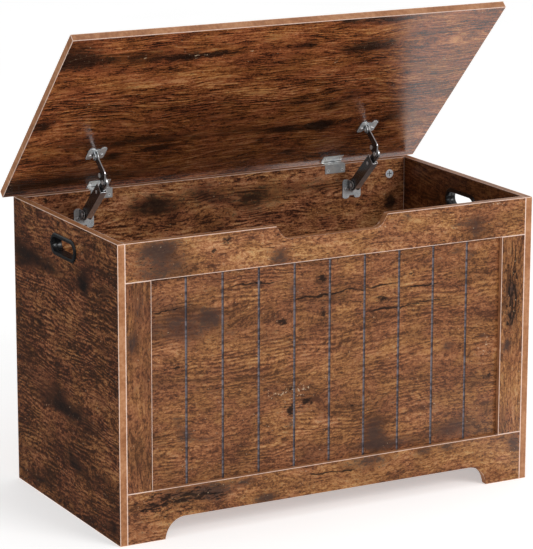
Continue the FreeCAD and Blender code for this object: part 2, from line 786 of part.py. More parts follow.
# ---------------------------------------------------------------- lid
lid = doc.addObject("PartDesign::Body", "lid_board")
lid_outline = outline(lid, "lid_outline", "XY_Plane",
                      (("-lid_half", "lid_front_edge"), ("lid_half", "lid_front_edge"),
                       ("lid_half", "lid_behind"), ("-lid_half", "lid_behind")))
pad(lid, "lid_pad", lid_outline, "dims.board")
bind(lid, "Placement.Base.z", "dims.lid_above")
doc.recompute()
on_lid(node(cut("lid_panel", lid, lid_screw_holes), "lid_panel"))

# ---------------------------------------------------------------- hinges
# Three knuckles round one pin: the middle one is on the lid leaf, the outer two on the leaf
# that hooks over the top edge of the back panel.
half_long = "dims.hinge_long / 2"
for side, sign in SIDES:
    middle = signed(sign, "dims.hinge_x")
    name = side + "_hinge_box_leaf"
    flap = block(name + "_flap",
                 (middle + " - " + half_long, "dims.back_inner - dims.leaf", "dims.box_leaf_low"),
                 ("dims.hinge_long", "dims.leaf", "dims.box_top + dims.leaf - dims.box_leaf_low"))
    hook = block(name + "_hook",
                 (middle + " - " + half_long, "dims.back_inner - dims.leaf", "dims.box_top"),
                 ("dims.hinge_long", "dims.hinge_along - dims.back_inner + dims.leaf",
                  "dims.leaf"))
    outer_long = "dims.hinge_long / 2 - dims.knuckle_half - dims.knuckle_gap"
    rolls = []
    for i, start in enumerate((middle + " - " + half_long,
                               middle + " + dims.knuckle_half + dims.knuckle_gap")):
        rolls.append(rod("%s_roll%d" % (name, i), (start, "dims.hinge_along",
                                                   "dims.hinge_height"),
                         "dims.knuckle", outer_long, "x"))
    notch = block(name + "_notch",
                  (middle + " - dims.knuckle_half - dims.knuckle_gap",
                   "dims.hinge_along - dims.knuckle_clear", "dims.box_top - dims.notch_drop"),
                  ("2 * dims.knuckle_half + 2 * dims.knuckle_gap", "dims.notch_deep",
                   "dims.notch_tall"))
    bore = rod(name + "_bore", (middle + " - dims.hinge_long", "dims.hinge_along",
                                "dims.hinge_height"),
               "dims.hinge_pin", "2 * dims.hinge_long", "x")
    node(cut(name, fuse(name + "_solid", [flap, hook] + rolls),
             [notch, bore] + leaf_holes[side + "_box"]), name)

    node(rod(side + "_hinge_pin", (middle + " - " + half_long, "dims.hinge_along",
                                   "dims.hinge_height"),
             "dims.hinge_pin", "dims.hinge_long", "x"), side + "_hinge_pin")

    name = side + "_hinge_lid_leaf"
    flap = block(name + "_flap",
                 (middle + " - " + half_long, "-dims.lid_leaf_front",
                  "dims.lid_above - dims.leaf"),
                 ("dims.hinge_long", "dims.lid_leaf_front", "dims.leaf"))
    roll = rod(name + "_roll", (middle + " - dims.knuckle_half", "0", "0"), "dims.knuckle",
               "2 * dims.knuckle_half", "x")
    tools = []
    for i, start in enumerate((middle + " - " + half_long + " - dims.past",
                               middle + " + dims.knuckle_half")):
        tools.append(block("%s_clear%d" % (name, i), (start, "-dims.flap_clear", "0"),
                           (half_long + " - dims.knuckle_half + dims.past",
                            "dims.flap_clear_deep", "dims.flap_clear_deep")))
    tools.append(rod(name + "_bore", (middle + " - dims.knuckle_half - dims.past", "0", "0"),
                     "dims.hinge_pin + dims.pin_play", "2 * dims.knuckle_half + 2 * dims.past",
                     "x"))
    on_lid(node(cut(name, fuse(name + "_solid", [flap, roll]),
                    tools + leaf_holes[side + "_lid"]), name))


# ---------------------------------------------------------------- lid stays
case_inside = "2 * dims.case_half - 2 * dims.case_wall"


def rounded_tile(name, centre, size, thick_axis, thick_at, thickness):
    """Flat plate with round corners.  centre and size are in X and one other axis."""
    (cx, cv), (wide, tall) = centre, size
    pieces = []

    def at(x, v):
        return (x, thick_at, v) if thick_axis == "y" else (x, v, thick_at)

    def extent(a, b):
        return (a, thickness, b) if thick_axis == "y" else (a, b, thickness)

    pieces.append(block(name + "_tall", at("%s - (%s) / 2 + dims.ear_round" % (cx, wide),
                                           "%s - (%s) / 2" % (cv, tall)),
                        extent("%s - 2 * dims.ear_round" % wide, tall)))
    pieces.append(block(name + "_wide", at("%s - (%s) / 2" % (cx, wide),
                                           "%s - (%s) / 2 + dims.ear_round" % (cv, tall)),
                        extent(wide, "%s - 2 * dims.ear_round" % tall)))
    for i, (a, b) in enumerate((("-", "-"), ("-", "+"), ("+", "-"), ("+", "+"))):
        spot = at("%s %s ((%s) / 2 - dims.ear_round)" % (cx, a, wide),
                  "%s %s ((%s) / 2 - dims.ear_round)" % (cv, b, tall))
        pieces.append(rod("%s_corner%d" % (name, i), spot, "dims.ear_round", thickness,
                          thick_axis))
    return pieces


def rivet(name, x_start, at, length, head_low, head_high,
          head=("dims.rivet_head", "dims.rivet_flat")):
    """Pin along X with a flat head at each end that is given one."""
    radius, thick = head
    pieces = [rod(name + "_pin", (x_start,) + at, "dims.pivot", length, "x")]
    if head_low is not None:
        pieces.append(rod(name + "_low", (head_low,) + at, radius, thick, "x"))
    if head_high is not None:
        pieces.append(rod(name + "_high", (head_high,) + at, radius, thick, "x"))
    return fuse(name, pieces)


def across(name, at, radius):
    """Bore right across a stay, about the plane x = 0."""
    return rod(name, ("-dims.reach",) + at, radius, "2 * dims.reach", "x")


def across_at(name, middle, at, radius):
    """The same bore about a stay that stands at x = middle."""
    return rod(name, (middle + " - dims.reach",) + at, radius, "2 * dims.reach", "x")


def link_bar(name, start, end):
    """Straight stretch of the upper arm, round at both ends.  start and end are (y, z)."""
    (y0, z0), (y1, z1) = start, end
    rise = "(%s) - (%s)" % (z1, z0)
    run = "(%s) - (%s)" % (y1, y0)
    lean = "atan2(%s; %s)" % (rise, run)
    strip = block(name + "_strip",
                  ("dims.link_left", "%s + dims.link_side * sin(%s)" % (y0, lean),
                   "%s - dims.link_side * cos(%s)" % (z0, lean)),
                  ("dims.link_thick", "hypot(%s; %s)" % (run, rise), "2 * dims.link_side"))
    strip.Placement.Rotation = FreeCAD.Rotation(V(1, 0, 0), 0)
    bind(strip, "Placement.Rotation.Angle", lean)
    ends = []
    for i, at in enumerate((start, end)):
        ends.append(rod("%s_end%d" % (name, i), ("dims.link_left",) + at, "dims.link_side",
                        "dims.link_thick", "x"))
    return [strip] + ends


def on_arm(obj, sign):
    """Carry a piece drawn along -Y from the foot pivot to the raised lower arm."""
    obj.Placement = FreeCAD.Placement(V(0, 0, 0), FreeCAD.Rotation(V(-1, 0, 0), D["arm_open"]))
    bind(obj, "Placement.Rotation.Angle", "dims.arm_open")
    bind(obj, "Placement.Base.x", signed(sign, "dims.stay_x"))
    bind(obj, "Placement.Base.y", "dims.foot_y")
    bind(obj, "Placement.Base.z", "dims.foot_z")
    return obj


def on_link(obj, sign):
    """Carry a piece drawn along +Y from the elbow to the upper arm."""
    obj.Placement = FreeCAD.Placement(V(0, 0, 0), FreeCAD.Rotation(V(1, 0, 0), D["link_turn"]))
    bind(obj, "Placement.Rotation.Angle", "dims.link_turn")
    bind(obj, "Placement.Base.x", signed(sign, "dims.stay_x"))
    bind(obj, "Placement.Base.y", "dims.elbow_y")
    bind(obj, "Placement.Base.z", "dims.elbow_z")
    return obj


for side, sign in SIDES:
    middle = signed(sign, "dims.stay_x")

    # foot bracket on the back panel: two tall ears, a web and two cheeks for the foot pivot
    name = side + "_stay_foot_bracket"
    plate_y = "dims.back_inner - dims.stay_plate"
    pieces = [block(name + "_web", (middle + " - dims.foot_ear_x", plate_y,
                                    "dims.foot_mid - dims.foot_web_tall / 2"),
                    ("2 * dims.foot_ear_x", "dims.stay_plate", "dims.foot_web_tall"))]
    for i, step_sign in enumerate(("-", "+")):
        pieces += rounded_tile("%s_ear%d" % (name, i),
                               ("%s %s dims.foot_ear_x" % (middle, step_sign), "dims.foot_mid"),
                               ("dims.foot_ear_wide", "dims.foot_tall"), "y", plate_y,
                               "dims.stay_plate")
        start = ("%s + dims.cheek_inner" if i else
                 "%s - dims.cheek_inner - dims.stay_plate") % middle
        pieces.append(rod("%s_cheek%d" % (name, i), (start, "dims.foot_y", "dims.foot_z"),
                          "dims.cheek_round", "dims.stay_plate", "x"))
        pieces.append(block("%s_arm%d" % (name, i),
                            (start, "dims.foot_y", "dims.foot_z - dims.cheek_round"),
                            ("dims.stay_plate", "dims.back_inner - dims.foot_y",
                             "2 * dims.cheek_round")))
    hole = across_at(name + "_hole", middle, ("dims.foot_y", "dims.foot_z"), "dims.pivot")
    node(cut(name, fuse(name + "_solid", pieces), [hole] + leaf_holes[side + "_foot"]), name)

    name = side + "_stay_foot_pin"
    outside = "dims.cheek_inner + dims.stay_plate"
    node(rivet(name, middle + " - " + outside.replace("+", "-"), ("dims.foot_y", "dims.foot_z"),
               "2 * (%s)" % outside, middle + " - (%s) - dims.rivet_flat" % outside,
               middle + " + " + outside, ("dims.pin_head", "dims.rivet_flat")), name)

    # channel casing of the lower arm, open along its upper edge and at its mouth
    name = side + "_stay_casing"
    shell = fuse(name + "_shell", [
        block(name + "_run", ("-dims.case_half", "-dims.case_long", "-dims.case_side"),
              ("2 * dims.case_half", "dims.case_long", "2 * dims.case_side")),
        rod(name + "_heel", ("-dims.case_half", "0", "0"), "dims.case_side",
            "2 * dims.case_half", "x")])
    trough = block(name + "_trough", ("-dims.case_half + dims.case_wall",
                                      "-dims.case_long - dims.past",
                                      "-dims.case_side + dims.case_wall"),
                   (case_inside, "dims.case_long + dims.case_side + 2 * dims.past",
                    "2 * dims.case_side"))
    heel_clear = block(name + "_heel_clear",
                       ("-dims.case_half + dims.case_wall", "-dims.heel_open",
                        "-dims.case_side - dims.past"),
                       (case_inside, "dims.case_side + dims.heel_open + dims.past",
                        "2 * dims.case_side + 2 * dims.past"))
    foot_hole = across(name + "_foot_hole", ("0", "0"), "dims.pivot + dims.pivot_play")
    slide_hole = across(name + "_slide_hole", ("-dims.slide_rivet", "0"), "dims.pivot")
    on_arm(node(cut(name, shell, [trough, heel_clear, foot_hole, slide_hole]), name), sign)

    name = side + "_stay_inner_bar"
    strip = fuse(name + "_solid", [
        block(name + "_strip", ("-dims.bar_half", "-dims.arm_long", "-dims.bar_side"),
              ("2 * dims.bar_half", "dims.arm_long - dims.bar_start", "2 * dims.bar_side")),
        rod(name + "_nose", ("-dims.bar_half", "-dims.arm_long", "0"), "dims.bar_side",
            "2 * dims.bar_half", "x")])
    holes = [across(name + "_elbow", ("-dims.arm_long", "0"), "dims.pivot + dims.pivot_play"),
             across(name + "_slide", ("-dims.slide_rivet", "0"), "dims.pivot")]
    on_arm(node(cut(name, strip, holes), name), sign)

    name = side + "_stay_slide_rivet"
    on_arm(node(rivet(name, "-dims.case_half", ("-dims.slide_rivet", "0"),
                      "2 * dims.case_half", "-dims.case_half - dims.slide_flat",
                      "dims.case_half", ("dims.slide_head", "dims.slide_flat")), name), sign)

    name = side + "_stay_spring_seat"
    seat = block(name + "_tab", ("-dims.case_half + dims.case_wall",
                                 "-dims.seat_at", "-dims.case_side + dims.case_wall"),
                 (case_inside, "dims.seat_thick",
                  "2 * dims.case_side - dims.case_wall - dims.seat_drop"))
    seat_hole = rod(name + "_hole", ("0", "-dims.seat_at - dims.past", "0"), "dims.adjuster",
                    "dims.seat_thick + 2 * dims.past", "y")
    on_arm(node(cut(name, seat, [seat_hole]), name), sign)

    # adjusting screw with its hexagon head, through the spring seat
    name = side + "_stay_adjuster"
    hexagon = doc.addObject("Part::Prism", name + "_head")
    hexagon.Polygon = 6
    bind(hexagon, "Circumradius", "dims.adjuster_flats / cos(30)")
    bind(hexagon, "Height", "dims.adjuster_head")
    place(hexagon, ("0", "-dims.seat_at + dims.seat_thick", "0"), "y")
    hexagon.Placement.Rotation = TURN["y"].multiply(FreeCAD.Rotation(V(0, 0, 1), 30))
    shaft = rod(name + "_shaft", ("0", "-dims.adjuster_end", "0"), "dims.adjuster",
                "dims.adjuster_end - dims.adjuster_start", "y")
    on_arm(node(fuse(name, [hexagon, shaft]), name), sign)

    # coil spring pressed between the seat and the inner bar
    name = side + "_stay_spring"
    helix = doc.addObject("Part::Helix", name + "_line")
    bind(helix, "Radius", "dims.coil")
    bind(helix, "Pitch", "dims.coil_pitch")
    bind(helix, "Height",
         "dims.bar_start - dims.seat_at - 2 * dims.coil_wire - 2 * dims.coil_ends")
    wire = doc.addObject("Part::Circle", name + "_wire")
    bind(wire, "Radius", "dims.coil_wire")
    wire.Placement = FreeCAD.Placement(V(0, 0, 0), FreeCAD.Rotation(V(1, 0, 0), 90))
    bind(wire, "Placement.Base.x", "dims.coil")
    coil = doc.addObject("Part::Sweep", name)
    coil.Sections = [wire]
    coil.Spine = (helix, [])
    coil.Solid = True
    coil.Frenet = True
    tilt = FreeCAD.Rotation(V(1, 0, 0), 90)
    lean = FreeCAD.Rotation(V(-1, 0, 0), D["arm_open"])
    from_foot = D["seat_at"] + D["coil_wire"] + D["coil_ends"]
    coil.Placement = FreeCAD.Placement(
        V(sign * D["stay_x"], D["foot_y"], D["foot_z"]) + lean.multVec(V(0, -from_foot, 0)),
        lean.multiply(tilt))
    node(coil, name)

    # upper arm: a flat link from the lid bracket to its knee, then a plate with the elbow
    # pivot and the stop rivet
    name = side + "_stay_upper_arm"
    elbow_at = ("0", "0")
    knee_at = ("dims.knee_along", "dims.knee_out")
    stop_at = ("dims.stop_along", "-dims.stop_in")
    lid_at = ("dims.link_long", "0")
    plate = doc.addObject("PartDesign::Body", name + "_plate")
    plate_outline = outline(plate, name + "_corners", "YZ_Plane",
                            (("zero", "zero"), ("stop_along", "-stop_in"),
                             ("knee_along", "knee_out")))
    pad(plate, name + "_plate_pad", plate_outline, "dims.link_thick")
    bind(plate, "Placement.Base.x", "dims.link_left")
    doc.recompute()
    bars = []
    for tag, start, end in (("shin", elbow_at, knee_at), ("heel", elbow_at, stop_at),
                            ("calf", stop_at, knee_at), ("thigh", knee_at, lid_at)):
        bars += link_bar(name + "_" + tag, start, end)
    holes = [across(name + "_elbow", elbow_at, "dims.pivot"),
             across(name + "_stop", stop_at, "dims.pivot"),
             across(name + "_lid", lid_at, "dims.pivot + dims.pivot_play")]
    on_link(node(cut(name, fuse(name + "_solid", [plate] + bars), holes), name), sign)

    name = side + "_stay_elbow_rivets"
    elbow = rivet(name + "_elbow", "dims.link_left", elbow_at,
                  "-dims.link_left + dims.bar_half + dims.bar_shim",
                  "dims.link_left - dims.rivet_flat", "dims.bar_half + dims.bar_shim")
    stop = rivet(name + "_stop", "dims.link_left", stop_at,
                 "dims.link_thick", "dims.link_left - dims.rivet_flat", None)
    on_link(node(group(name, [elbow, stop]), name), sign)

    # lid bracket: two ears, a web and two cheeks for the lid pivot
    name = side + "_stay_lid_bracket"
    plate_z = "dims.lid_above - dims.stay_plate"
    pivot_at = ("-dims.lid_pivot_front", "-dims.lid_pivot_drop")
    pieces = [block(name + "_web", (middle + " - dims.lid_ear_x",
                                    "-dims.lid_pivot_front - dims.lid_web_long / 2", plate_z),
                    ("2 * dims.lid_ear_x", "dims.lid_web_long", "dims.stay_plate"))]
    for i, step_sign in enumerate(("-", "+")):
        pieces += rounded_tile("%s_ear%d" % (name, i),
                               ("%s %s dims.lid_ear_x" % (middle, step_sign),
                                "-dims.lid_pivot_front"),
                               ("dims.lid_ear_wide", "dims.lid_foot_long"), "z", plate_z,
                               "dims.stay_plate")
        start = (middle + " + dims.link_left + dims.link_thick + dims.clevis_gap" if i else
                 middle + " + dims.link_left - dims.clevis_gap - dims.stay_plate")
        pieces.append(rod("%s_cheek%d" % (name, i), (start,) + pivot_at,
                          "dims.link_side", "dims.stay_plate", "x"))
        pieces.append(block("%s_arm%d" % (name, i),
                            (start, "-dims.lid_pivot_front - dims.link_side",
                             "-dims.lid_pivot_drop"),
                            ("dims.stay_plate", "2 * dims.link_side",
                             "dims.lid_pivot_drop + dims.lid_above")))
    hole = across_at(name + "_hole", middle, pivot_at, "dims.pivot")
    on_lid(node(cut(name, fuse(name + "_solid", pieces),
                    [hole] + leaf_holes[side + "_lid_foot"]), name))

    name = side + "_stay_lid_pin"
    low = middle + " + dims.link_left - dims.clevis_gap - dims.stay_plate"
    span = "dims.link_thick + 2 * dims.clevis_gap + 2 * dims.stay_plate"
    on_lid(node(rivet(name, low, pivot_at, span, low + " - dims.lid_pin_flat",
                      low + " + " + span, ("dims.lid_pin_head", "dims.lid_pin_flat")), name))

# ---------------------------------------------------------------- check and write
doc.recompute()
for obj in doc.Objects:
    if "Invalid" in obj.State or "Error" in obj.State:
        raise RuntimeError("bad state: " + obj.Name)
for obj in NODES:
    if obj.Shape.isNull() or not obj.Shape.isValid():
        raise RuntimeError("bad shape: " + obj.Label)
    obj.Shape.exportStep("parts/%s.step" % obj.Label)
    box = obj.Shape.BoundBox
    print("%-28s solids %d  vol %.1f  x %.1f %.1f  y %.1f %.1f  z %.1f %.1f" % (
        obj.Label, len(obj.Shape.Solids), obj.Shape.Volume, box.XMin, box.XMax, box.YMin,
        box.YMax, box.ZMin, box.ZMax))
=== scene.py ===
import math
from dataclasses import dataclass

import bpy
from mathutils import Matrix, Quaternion, Vector


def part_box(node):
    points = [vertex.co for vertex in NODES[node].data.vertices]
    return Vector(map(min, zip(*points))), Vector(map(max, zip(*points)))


# Looks of the wooden toy box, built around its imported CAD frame.  Metres, the CAD's axes.

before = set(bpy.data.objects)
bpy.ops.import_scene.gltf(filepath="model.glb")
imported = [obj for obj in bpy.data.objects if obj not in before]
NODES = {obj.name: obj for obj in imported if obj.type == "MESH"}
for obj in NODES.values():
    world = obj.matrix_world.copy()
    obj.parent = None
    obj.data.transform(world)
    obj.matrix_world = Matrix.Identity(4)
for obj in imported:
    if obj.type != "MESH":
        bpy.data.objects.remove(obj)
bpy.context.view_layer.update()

LID_OPEN = math.radians(46)
X = Vector((1, 0, 0))
Y = Vector((0, 1, 0))
Z = Vector((0, 0, 1))
LID_UP = Vector((0, -math.cos(LID_OPEN), math.sin(LID_OPEN)))      # from hinge to front edge
LID_OUT = Vector((0, math.sin(LID_OPEN), math.cos(LID_OPEN)))      # away from the box


# ------------------------------------------------------------------ node graph helper
class Graph:
    """Short calls for building one shader tree."""

    def __init__(self, name):
        self.material = bpy.data.materials.new(name)
        self.material.use_nodes = True
        self.tree = self.material.node_tree
        self.tree.nodes.clear()
        self.place = self.add("ShaderNodeTexCoord")

    def add(self, kind, **settings):
        node = self.tree.nodes.new(kind)
        for key, value in settings.items():
            setattr(node, key, value)
        return node

    def put(self, socket, value):
        if isinstance(value, bpy.types.NodeSocket):
            self.tree.links.new(value, socket)
        elif value is not None:
            socket.default_value = value

    def math(self, operation, first, second=None, third=None, clamp=False):
        node = self.add("ShaderNodeMath", operation=operation, use_clamp=clamp)
        for socket, value in zip(node.inputs, (first, second, third)):
            self.put(socket, value)
        return node.outputs[0]

    def vector(self, operation, first, second, third=None):
        node = self.add("ShaderNodeVectorMath", operation=operation)
        for socket, value in zip(node.inputs, (first, second, third)):
            self.put(socket, value)
        return node.outputs["Value" if operation == "DOT_PRODUCT" else "Vector"]

    def join(self, x, y, z):
        node = self.add("ShaderNodeCombineXYZ")
        for socket, value in zip(node.inputs, (x, y, z)):
            self.put(socket, value)
        return node.outputs[0]

    def noise(self, vector, detail, rough, scale=1.0, output=0):
        node = self.add("ShaderNodeTexNoise")
        self.put(node.inputs["Vector"], vector)
        self.put(node.inputs["Scale"], scale)
        self.put(node.inputs["Detail"], detail)
        self.put(node.inputs["Roughness"], rough)
        return node.outputs[output]

    def stretched(self, vector, size_mm, detail, rough, layer=1.0):
        """Noise whose features are about size_mm long and high.  layer picks another slice."""
        scale = (1000 / size_mm[0], 1000 / size_mm[1], layer)
        return self.noise(self.vector("MULTIPLY", vector, scale), detail, rough)

    def step(self, value, low, high, start=0.0, end=1.0):
        node = self.add("ShaderNodeMapRange", interpolation_type="SMOOTHSTEP")
        for socket, number in zip(node.inputs, (value, low, high, start, end)):
            self.put(socket, number)
        return node.outputs[0]

    def mix(self, factor, first, second, blend="MIX"):
        node = self.add("ShaderNodeMix", data_type="RGBA", blend_type=blend)
        self.put(node.inputs[0], factor)
        self.put(node.inputs[6], first)
        self.put(node.inputs[7], second)
        return node.outputs[2]

    def ramp(self, factor, stops):
        node = self.add("ShaderNodeValToRGB")
        ramp = node.color_ramp
        while len(ramp.elements) < len(stops):
            ramp.elements.new(0.5)
        for element, (position, colour) in zip(ramp.elements, stops):
            element.position = position
            element.color = colour
        self.put(node.inputs[0], factor)
        return node.outputs[0]

    def bump(self, height, strength, distance):
        node = self.add("ShaderNodeBump")
        self.put(node.inputs["Strength"], strength)
        self.put(node.inputs["Distance"], distance)
        self.put(node.inputs["Height"], height)
        return node.outputs[0]

    def finish(self, colour, rough, normal=None, **settings):
        shader = self.add("ShaderNodeBsdfPrincipled")
        self.put(shader.inputs["Base Color"], colour)
        self.put(shader.inputs["Roughness"], rough)
        if normal is not None:
            self.put(shader.inputs["Normal"], normal)
        for key, value in settings.items():
            shader.inputs[key.replace("_", " ")].default_value = value
        out = self.add("ShaderNodeOutputMaterial")
        self.tree.links.new(shader.outputs[0], out.inputs[0])
        return self.material


def rgb(red, green, blue):
    """Display colour of 0 to 255 as the linear colour that a shader takes."""
    def linear(value):
        value /= 255
        return value / 12.92 if value <= 0.04045 else ((value + 0.055) / 1.055) ** 2.4
    return (linear(red), linear(green), linear(blue), 1.0)


# ------------------------------------------------------------------ wood-grain laminate
CONE = 1.9                     # a mark fades out at this many times its stated half size


def marks_field(g, place, marks):
    """Sum of soft ovals.  A mark is (along, across, half length, half height, weight).

    The first four are millimetres on the board, and the weight is a plain number.
    """
    total = 0.0
    for mu, mv, ru, rv, weight in marks:
        wide, tall = ru * CONE, rv * CONE
        local = g.vector("MULTIPLY_ADD", place, (1000 / wide, 1000 / tall, 0.0),
                         (-mu / wide, -mv / tall, 0.0))
        cone = g.add("ShaderNodeTexGradient", gradient_type="SPHERICAL")
        g.put(cone.inputs[0], local)
        total = g.math("MULTIPLY_ADD", cone.outputs["Fac"], weight, total)
    return total


@dataclass
class Print:
    """What is printed on one board's foil: its tones and the marks at known places."""

    tones: tuple
    char: tuple
    smudges: tuple = ()
    knots: tuple = ()
    cracks: tuple = ()
    lifts: tuple = ()
    rings: tuple = ()
    chips: tuple = ()
    checks: tuple = ()
    loose: float = 0.5               # strength of the charcoal that noise lays
    ringed: float = 0.6              # strength of the ring lines at their strongest
    contrast: float = 1.0
    bias: float = 0.0
    gloss: float = 0.30
    specular: float = 0.35
    ring_pitch: float = 7.0
    ring_bend: float = 42.0
    grit: tuple = (9, 3.4)
    streak: float = 0.55
    check_size: tuple = (13, 4)


def extent(node, direction):
    """Lowest and highest place of a CAD node along a direction."""
    places = [vertex.co.dot(direction) for vertex in NODES[node].data.vertices]
    return min(places), max(places)


def edge_distance(g, node, directions):
    """Distance to the board's nearest edge, from any of its faces."""
    gaps = []
    for direction in directions:
        low, high = extent(node, direction)
        place = g.vector("DOT_PRODUCT", g.place.outputs["Object"], direction)
        away = g.math("ABSOLUTE", g.math("SUBTRACT", place, (low + high) / 2))
        gaps.append(g.math("SUBTRACT", (high - low) / 2, away))
    first, second, third = gaps
    lower = g.math("MINIMUM", first, second)
    upper = g.math("MAXIMUM", first, second)
    return g.math("MAXIMUM", lower, g.math("MINIMUM", upper, third))


class Foil:
    """Places and shared noise layers of one board's printed foil."""

    def __init__(self, node, along, across, seed, look, origin):
        g = Graph(node + "_foil")
        self.graph = g
        self.look = look
        self.pos = g.place.outputs["Object"]
        u = g.vector("DOT_PRODUCT", self.pos, along)
        self.height = g.math("SUBTRACT", g.vector("DOT_PRODUCT", self.pos, across), origin)
        self.flat = g.join(u, self.height, seed * BOARD_STEP)

        # slow wander bends the grain; ragged places tear the outlines of
        # the marks; wavy places bend the long cracks
        wander = g.stretched(self.flat, (240, 75), 2.5, 0.5)
        bent = g.math("MULTIPLY_ADD", g.math("SUBTRACT", wander, 0.5), WANDER, self.height)
        self.grain = g.join(u, bent, seed * BOARD_STEP)
        self.ragged = self.shifted((55.0, 80.0, 1.0), 5.0, 0.75, TEAR)
        self.wavy = self.shifted((26.0, 36.0, 1.0), 3.0, 0.6, WAVER)

        self.streak = g.stretched(self.grain, (60, 6), 4.0, 0.62)
        self.grit = g.stretched(self.grain, look.grit, 2.0, 0.7)
        self.pore = g.stretched(self.flat, (4.0, 2.4), 2.0, 0.8)

    def shifted(self, scale, detail, rough, reach):
        """Places on the board, each moved by noise through up to half of reach."""
        g = self.graph
        shift = g.noise(g.vector("MULTIPLY", self.flat, scale), detail, rough, output=1)
        shift = g.vector("MULTIPLY_ADD", shift, reach, -reach / 2)
        return g.vector("ADD", self.flat, shift)

    def stirred(self, field, grit, pore=None):
        """A field of marks made uneven by the fine noise layers."""
        g = self.graph
        field = g.math("MULTIPLY_ADD", g.math("SUBTRACT", self.grit, 0.5), grit, field)
        if pore is not None:
            field = g.math("MULTIPLY_ADD", g.math("SUBTRACT", self.pore, 0.5), pore, field)
        return field

    def marks(self, place, marks):
        return marks_field(self.graph, place, marks)


def ring_lines(foil):
    """Growth-ring lines, ragged and stronger in places."""
    g, look = foil.graph, foil.look
    warp = g.stretched(foil.flat, (130, 34), 2.5, 0.45, layer=1.4)
    phase = g.math("MULTIPLY_ADD", warp, look.ring_bend,
                   g.math("MULTIPLY", foil.height, math.tau * 1000 / look.ring_pitch))
    phase = g.math("MULTIPLY_ADD", foil.grit, 3.4, phase)
    where = g.step(g.stretched(foil.flat, (120, 60), 2.0, 0.5, layer=1.7), 0.42, 0.62, 0.12,
                   look.ringed)
    if look.rings:
        where = g.math("ADD", where, foil.marks(foil.ragged, look.rings), clamp=True)
    return g.math("MULTIPLY", g.math("SINE", phase), where)


def wood_colour(foil):
    """Tone from slow drift, streaks, grit, pores and rings, then the colour drift."""
    g, look = foil.graph, foil.look
    broad = g.stretched(foil.flat, (100, 42), 4.0, 0.6)
    weights = ((broad, 0.75), (foil.streak, look.streak), (foil.grit, 1.15), (foil.pore, 1.05))
    tone = 0.5 + look.bias - 0.5 * look.contrast * sum(weight for layer, weight in weights)
    for layer, weight in weights:
        tone = g.math("MULTIPLY_ADD", layer, weight * look.contrast, tone)
    if look.lifts:
        tone = g.math("MULTIPLY_ADD", foil.marks(foil.ragged, look.lifts), LIFT, tone)
    tone = g.math("MULTIPLY_ADD", ring_lines(foil), -RING_DEPTH, tone)
    deep, mid, light, pale = look.tones
    colour = g.ramp(tone, ((0.22, deep), (0.50, mid), (0.72, light), (0.98, pale)))
    drift = g.stretched(foil.flat, (60, 34), 3.0, 0.6, layer=2.3)
    tint = g.mix(g.step(drift, 0.38, 0.62), RED_TINT, GOLD_TINT)
    return g.mix(0.8, colour, tint, "MULTIPLY")


def charcoal(foil):
    """How much the charcoal smudges cover."""
    g, look = foil.graph, foil.look
    smear = g.stretched(foil.flat, (60, 28), 4.0, 0.65)
    field = g.math("MULTIPLY_ADD", g.math("SUBTRACT", smear, 0.50), 4.4 * look.loose, -0.36)
    if look.smudges:
        field = g.math("MULTIPLY_ADD", foil.marks(foil.ragged, look.smudges), 1.7, field)
    return g.step(foil.stirred(field, 3.2, 2.6), -0.15, 1.20, 0.0, 0.92)


def black_marks(foil):
    """How much the knots, long cracks and short black checks cover."""
    g, look = foil.graph, foil.look
    black = g.step(g.stretched(foil.grain, (17, 2.8), 3.0, 0.7), 0.640, 0.70, 0.0, 0.80)
    if look.checks:
        gate = g.math("MULTIPLY_ADD", foil.marks(foil.ragged, look.checks), 0.24,
                      g.stretched(foil.flat, look.check_size, 4.0, 0.7))
        black = g.math("MAXIMUM", black, g.step(gate, 0.66, 0.74, 0.0, 0.85))
    if look.knots:
        knots = foil.stirred(foil.marks(foil.ragged, look.knots), 1.6)
        black = g.math("MAXIMUM", black, g.step(knots, 0.28, 0.72, 0.0, 0.92))
    if look.cracks:
        cracks = foil.stirred(foil.marks(foil.wavy, look.cracks), 1.4)
        black = g.math("MAXIMUM", black, g.step(cracks, 0.20, 0.60, 0.0, 0.88))
    return black


def flecked(foil, colour):
    """Worm specks and pale chips over the colour."""
    g, look = foil.graph, foil.look
    speck = g.noise(g.vector("MULTIPLY", foil.flat, (190.0, 260.0, 1.0)), 2.0, 0.6)
    colour = g.mix(g.step(speck, 0.70, 0.74, 0.0, 0.8), colour, PITCH)
    chip = g.noise(g.vector("MULTIPLY", foil.flat, (210.0, 260.0, 2.3)), 2.0, 0.6)
    if look.chips:
        chip = g.math("MULTIPLY_ADD", foil.marks(foil.flat, look.chips), 0.22, chip)
    return g.mix(g.step(chip, 0.70, 0.77, 0.0, 0.8), colour, CHIP)


